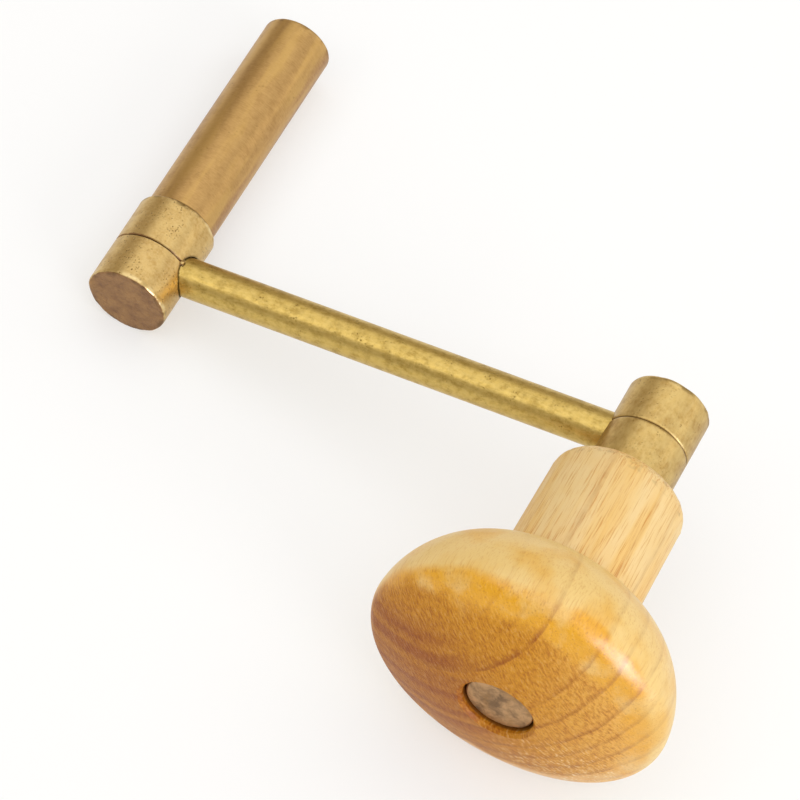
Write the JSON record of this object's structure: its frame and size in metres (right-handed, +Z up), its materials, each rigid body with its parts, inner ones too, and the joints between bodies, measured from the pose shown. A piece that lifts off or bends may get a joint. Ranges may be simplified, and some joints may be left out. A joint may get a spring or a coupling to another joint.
{
  "type": "crank winding key",
  "caption": "Crank key for winding a clock: brass barrel with a square socket, round cross arm between turned bosses, and a mushroom-shaped wooden knob that spins on a steel spindle.",
  "frame": {"origin": "centre of the square socket's mouth, on the barrel's axis", "axes": "+Y leaves the mouth along the barrel, +X runs towards the handle, +Z is up with the key lying on its side"},
  "size_m": [0.1078, 0.0967, 0.0451],
  "materials": {
    "satin_brass": "turned and brushed satin brass",
    "polished_brass": "polished brass with small dark pits",
    "drawn_brass": "drawn brass rod with a greenish tarnish",
    "worn_brass": "pale worn brass",
    "aged_steel": "aged grey-brown steel",
    "lacquered_wood": "turned hardwood under clear lacquer"
  },
  "bodies": {
    "crank": {"winding_barrel": "satin_brass", "barrel_boss": "polished_brass", "crank_arm": "drawn_brass", "handle_boss": "worn_brass", "handle_spindle": "aged_steel"},
    "knob": {"handle_knob": "lacquered_wood"}
  },
  "joints": [
    {"name": "knob_spin", "type": "hinge", "parent": "crank", "child": "knob", "pos_m": [0.07895, -0.0551, 0.01625], "axis": [0, 1, 0], "continuous": true}
  ]
}
